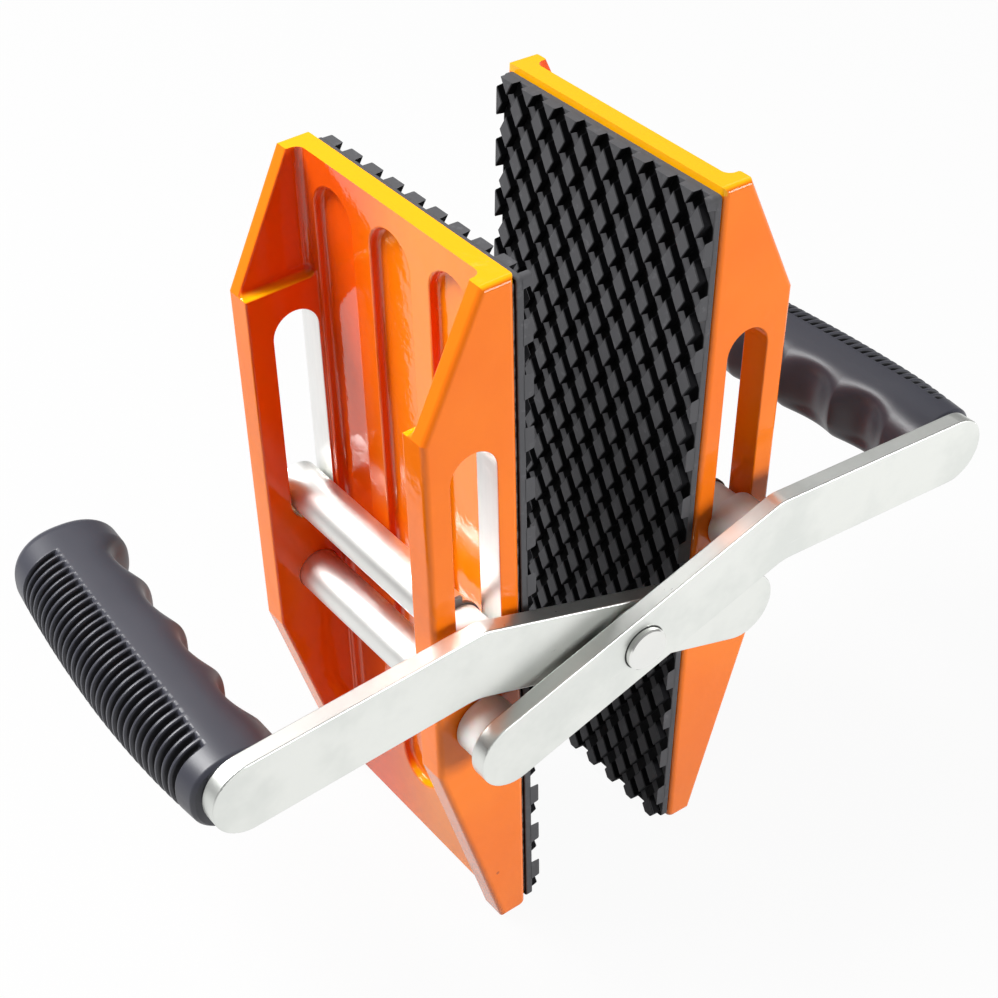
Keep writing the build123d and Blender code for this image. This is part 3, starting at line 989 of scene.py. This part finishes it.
@dataclass
class RibbedGrip:
    """Moulded grip of one lever: oval body, finger scallops on the jaw side, slots round the palm side."""

    side: Side
    body: str
    finish: Finish
    lever_back: float
    length: float = 124.0
    height: float = 29.4
    palm: float = 20.3
    palm_near: float = 14.9
    palm_far: float = 17.0
    finger: float = 14.7
    collar: float = 16.2
    horn: float = 18.0
    groove_depth: float = 3.9
    groove_first: float = 26.2
    groove_pitch: float = 24.2
    groove_count: int = 4
    groove_power: float = 1.35
    scoop_side: float = 0.25
    scoop_middle: float = 1.05
    ribs: RibRow = RibRow()
    slot_depth: float = 2.5
    slot_centre: float = 3.0
    crown: float = 6.5
    straight: float = 0.965
    crown_power: float = 0.42
    crown_rise: float = 1.25
    collar_end: float = 4.0
    collar_share: float = 0.88
    collar_reach: tuple[float, float] = (-4.0, 26.0)
    collar_round: float = 1.6
    rim_share: float = 0.92
    squareness: float = 2.35
    toe_in: float = 3.6
    axis_x: float = 137.0
    axis_z: float = 126.25
    rows: int = 600
    columns: int = 128

    def place(self) -> Matrix:
        """Where the upright right grip goes on this side.

        Returns:
            Matrix in millimetres.
        """
        turn = Matrix.Rotation(math.radians(self.toe_in), 4, "Z")
        stand = Matrix.Translation((self.axis_x, self.lever_back, self.axis_z)) @ turn
        return Matrix.Diagonal((self.side.value, 1, 1, 1)) @ stand

    def squared(self, wave: Wire) -> Wire:
        """Turn a sine or cosine into the share of the reach on a squarish oval."""
        return abs(wave) ** (2.0 / self.squareness) * wave.tree.math("SIGN", wave)

    def stations(self, tree: GeometryTree, row: Wire) -> tuple[Wire, Wire]:
        """Spread the grid's rows along the grip and close both ends.

        Args:
            tree: The grip's tree.
            row: Row of the grid, from 0 to 1.

        Returns:
            Place along the grip, and the share of the section's size that is left there.
        """
        near_row = 1.0 / (self.rows - 1)
        run = tree.math("MAXIMUM", (row - near_row) / (1.0 - near_row), 0.0)
        arc = tree.math("MAXIMUM", (run - self.straight) / (1.0 - self.straight), 0.0) * (math.pi / 2)
        rise = tree.math("MINIMUM", tree.math("MAXIMUM", tree.math("SINE", arc), 0.0), 1.0)
        narrow = tree.math("MAXIMUM", tree.math("COSINE", arc), 0.0) ** self.crown_power
        body = tree.math("MINIMUM", run / self.straight, 1.0)
        crown = tree.given["Crown"]
        along = body * (tree.given["Length"] - crown) + crown * (rise ** self.crown_rise)
        return along, narrow * row.step(0.0, 0.4 * near_row)

    def palm_reach(self, tree: GeometryTree, along: Wire) -> Wire:
        """How far the palm side stands off the axis.

        Args:
            tree: The grip's tree.
            along: Place along the grip.

        Returns:
            The reach.
        """
        middle = self.length / 2
        swell = (along - middle) / middle
        near = swell.step(0.0, -0.02)
        ends = near * (self.palm - self.palm_near) + (1.0 - near) * (self.palm - self.palm_far)
        return tree.given["Palm"] - ends * swell * swell

    def finger_reach(self, tree: GeometryTree, along: Wire, level: Wire) -> Wire:
        """How far the scalloped finger side stands off the axis.

        Args:
            tree: The grip's tree.
            along: Place along the grip.
            level: Height on the section, from -1 to 1.

        Returns:
            The reach.
        """
        given = tree.given
        first, pitch = self.groove_first, self.groove_pitch
        last = first + (self.groove_count - 1) * pitch
        low, high = first - pitch / 2, last + pitch / 2
        wave = abs(tree.math("COSINE", (along - first) * (math.pi / pitch))) ** self.groove_power
        in_grooves = along.step(low - 0.1, low + 0.1) * along.step(high + 0.1, high - 0.1)
        finger = given["Collar"] + (given["Finger"] - given["Collar"]) * along.step(self.collar_end, first)
        finger = finger + (given["Horn"] - given["Finger"]) * along.step(last + 2.0, high)
        depth = self.scoop_side + self.scoop_middle * abs(level).step(1.0, 0.45)
        return finger - wave * in_grooves * given["Groove depth"] * depth

    def tree(self) -> GeometryTree:
        """Geometry nodes that wrap a grid into the grip.

        Returns:
            The finished group.
        """
        sizes = {"Length": self.length, "Half height": self.height / 2, "Palm": self.palm,
                 "Finger": self.finger, "Collar": self.collar, "Horn": self.horn,
                 "Groove depth": self.groove_depth, "Slot depth": self.slot_depth, "Crown": self.crown}
        tree = GeometryTree("ribbed_grip", sizes)
        counts = {"Vertices X": self.columns + 1, "Vertices Y": self.rows, "Size X": 1.0, "Size Y": 1.0}
        grid = tree.wire("GeometryNodeMeshGrid", None, counts, "Mesh")
        u, v, _ = tree.split(tree.wire("GeometryNodeInputPosition"))
        turn = (u + 0.5) * math.tau
        along, narrow = self.stations(tree, v + 0.5)
        sideways = tree.math("COSINE", turn)
        level = self.squared(tree.math("SINE", turn))
        on_palm = sideways.step(-0.02, 0.02)
        reach = on_palm * self.palm_reach(tree, along)
        reach = reach + (1.0 - on_palm) * self.finger_reach(tree, along, level)
        rim = along.step(-0.4 * self.collar_round, self.collar_round)
        size = narrow * (self.rim_share + (1.0 - self.rim_share) * rim)
        x = self.squared(sideways) * reach * size
        half_height = tree.given["Half height"]
        collar = self.collar_share + (1.0 - self.collar_share) * along.step(*self.collar_reach)
        z = level * half_height * size * collar
        in_slot = self.ribs.mask(along, x, (0.12, -0.3), (-0.5, 0.7))
        sink = 1.0 - in_slot * tree.given["Slot depth"] / (half_height + self.slot_centre)
        shaped = {"Geometry": grid, "Position": tree.join(x * sink, along, z * sink)}
        moved = tree.wire("GeometryNodeSetPosition", None, shaped)
        closed = tree.wire("GeometryNodeMergeByDistance", None, {"Geometry": moved, "Distance": 0.0005})
        smooth = tree.wire("GeometryNodeSetShadeSmooth", None, {"Geometry": closed})
        tree.end(smooth)
        return tree

    @staticmethod
    def mark_places(grip: bpy.types.Object) -> None:
        """Store where each point lies along and across the grip, for the finish.

        Args:
            grip: The grip at its own origin, in millimetres.
        """
        for name, axis in (("along", 1), ("across", 0)):
            attribute = grip.data.attributes.new(name, "FLOAT", "POINT")
            attribute.data.foreach_set("value", [vert.co[axis] for vert in grip.data.vertices])

    def build(self) -> bpy.types.Object:
        """Make the grip and hand it to its lever.

        Returns:
            The finished grip.
        """
        grip = self.tree().bake(f"{self.side.word}_ribbed_grip", self.finish.material(), {})
        self.mark_places(grip)
        settle(grip, self.place())
        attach(grip, self.body)
        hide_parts(f"{self.side.word}_grip")
        return grip


@dataclass
class Softbox:
    """One soft studio lamp that looks at the clamp."""

    name: str
    place: Point
    size: tuple[float, float]
    power: float
    target: Point = (0.0, 0.0, 0.12)

    def build(self) -> None:
        """Make the lamp and turn it to the clamp."""
        lamp = bpy.data.lights.new(self.name, "AREA")
        lamp.shape = "RECTANGLE"
        lamp.size, lamp.size_y = self.size
        lamp.energy = self.power
        made = add_object(self.name, lamp)
        made.location = self.place
        aim = Vector(self.target) - Vector(self.place)
        made.rotation_euler = aim.to_track_quat("-Z", "Y").to_euler()


@dataclass
class Studio:
    """Pale floor, soft light and the camera at the photograph's angle."""

    floor_reach: float = 6.0
    floor_drop: float = 0.0004
    floor_colour: Colour = (0.5, 0.5, 0.5)
    floor_glow: float = 0.95
    glow_near: float = 0.6
    glow_far: float = 1.6
    lens: float = 73.48
    camera_place: Point = (-0.31893, -0.41705, 0.54234)
    azimuth: float = 36.934
    down: float = 38.12
    roll: float = -0.208
    ambient: float = 0.08
    overhead: float = 0.3
    lamps: list[Softbox] = field(default_factory=lambda: [
        Softbox("key_softbox", (-0.75, 0.65, 1.45), (0.8, 0.8), 50.0),
        Softbox("front_softbox", (0.75, -1.5, 0.35), (1.0, 0.6), 26.0),
        Softbox("back_softbox", (0.5, 1.4, 1.8), (2.8, 0.7), 6.4),
    ])

    def floor(self) -> None:
        """Lay the floor with its pale finish."""
        reach = self.floor_reach
        mesh = bpy.data.meshes.new("studio_floor")
        corners = ((-reach, -reach), (reach, -reach), (reach, reach), (-reach, reach))
        mesh.from_pydata([(x, y, -self.floor_drop) for x, y in corners], [], [(0, 1, 2, 3)])
        floor = add_object("studio_floor", mesh)
        shader = Shader("pale_floor")
        shader.set(Base_Color=(*self.floor_colour, 1.0), Roughness=0.9, Specular_IOR_Level=0.1)
        camera, mirrored = shader.ray_kinds()
        seen = shader.math("MAXIMUM", camera, mirrored)
        away = shader.wire("ShaderNodeVectorMath", {"operation": "LENGTH"}, {0: shader.place}, "Value")
        nearby = self.overhead + (1.0 - self.overhead) * away.step(self.glow_far / MM, self.glow_near / MM)
        strength = shader.math("MAXIMUM", camera, nearby)
        glow = shader.wire("ShaderNodeEmission", None, {"Color": WHITE, "Strength": strength})
        shader.mix_in(seen * self.floor_glow, glow)
        mesh.materials.append(shader.material)

    def sky(self) -> None:
        """Give the world an even pale light that is white to the camera and dimmer in reflections."""
        world = bpy.data.worlds.new("studio_world")
        world.use_nodes = True
        bpy.context.scene.world = world
        tree = Tree(world.node_tree)
        tree.nodes.nodes.clear()
        camera, mirrored = tree.ray_kinds()
        seen = tree.math("MAXIMUM", camera, mirrored * self.overhead)
        strength = tree.math("MAXIMUM", seen, self.ambient)
        light = tree.wire("ShaderNodeBackground", None, {"Color": WHITE, "Strength": strength})
        tree.add("ShaderNodeOutputWorld", None, {"Surface": light})

    def camera(self) -> None:
        """Set up the camera."""
        turn, tilt, roll = (math.radians(value) for value in (self.azimuth, self.down, self.roll))
        ahead = Vector((math.sin(turn) * math.cos(tilt), math.cos(turn) * math.cos(tilt), -math.sin(tilt)))
        level = Vector((math.cos(turn), -math.sin(turn), 0.0))
        upward = level.cross(ahead)
        right = math.cos(roll) * level + math.sin(roll) * upward
        above = -math.sin(roll) * level + math.cos(roll) * upward
        data = bpy.data.cameras.new("photo_camera")
        data.sensor_width = 36.0
        data.lens = self.lens
        data.clip_start, data.clip_end = 0.01, 50.0
        camera = add_object("photo_camera", data)
        axes = Matrix((right, above, -ahead)).transposed().to_4x4()
        camera.matrix_world = Matrix.Translation(self.camera_place) @ axes
        bpy.context.scene.camera = camera

    def build(self) -> None:
        """Make floor, world, lamps and camera."""
        bpy.context.scene.view_settings.view_transform = "Standard"
        self.floor()
        self.sky()
        for lamp in self.lamps:
            lamp.build()
        self.camera()


@dataclass
class Hardware:
    """The nodes whose shape is kept and only gets its finish."""

    nodes: dict[str, bpy.types.Object]

    def finishes(self) -> dict[str, Finish]:
        """Finish of each kept node.

        Returns:
            The finishes by node name.
        """
        bar = ZincPlate("zinc_flat_bar")
        rod = TurnedSteel("bright_rod")
        spring = OiledSpring("oiled_spring_steel")
        nylon = WhiteNylon("white_nylon")
        bond = CuredBond("cured_bond")
        found: dict[str, Finish] = {"inner_lever_bar": bar, "outer_lever_bar": bar, "lever_washer": nylon,
                                    "centre_pin": TurnedSteel("pin_steel", rough=0.12)}
        for side in Side:
            found[f"{side.word}_jaw"] = PowderCoat(f"{side.word}_orange_coat", side)
            found[f"{side.word}_pad_bond"] = bond
            found[f"{side.word}_handle_core"] = rod
            for place in ("slide", "pivot"):
                found[f"{side.word}_{place}_rod"] = rod
                found[f"{side.word}_{place}_bush"] = nylon
                found[f"{side.word}_{place}_ring"] = spring
        return found

    def dress(self) -> None:
        """Put the finishes on the nodes' material slots."""
        for name, finish in self.finishes().items():
            for slot in self.nodes[name].material_slots:
                slot.material = finish.material()
            LOG.info("dressed %s with %s", name, finish.name)


def main() -> None:
    """Build the clamp's looks piece by piece."""
    logging.basicConfig(level=logging.INFO, format="%(name)s: %(message)s")
    for leftover in list(bpy.data.objects):
        bpy.data.objects.remove(leftover)
    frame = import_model()
    Hardware(frame["nodes"]).dress()
    rubber = TreadRubber("tread_rubber")
    plastic = GripPlastic("moulded_grip")
    pieces = [TreadPad(side, rubber).build() for side in Side]
    pieces.append(RibbedGrip(Side.LEFT, "inner_lever", plastic, lever_back=-54.025).build())
    pieces.append(RibbedGrip(Side.RIGHT, "outer_lever", plastic, lever_back=-61.775).build())
    for piece in pieces:
        LOG.info("built %s with %d faces", piece.name, len(piece.data.polygons))
    Studio().build()


if __name__ == "__main__":
    main()
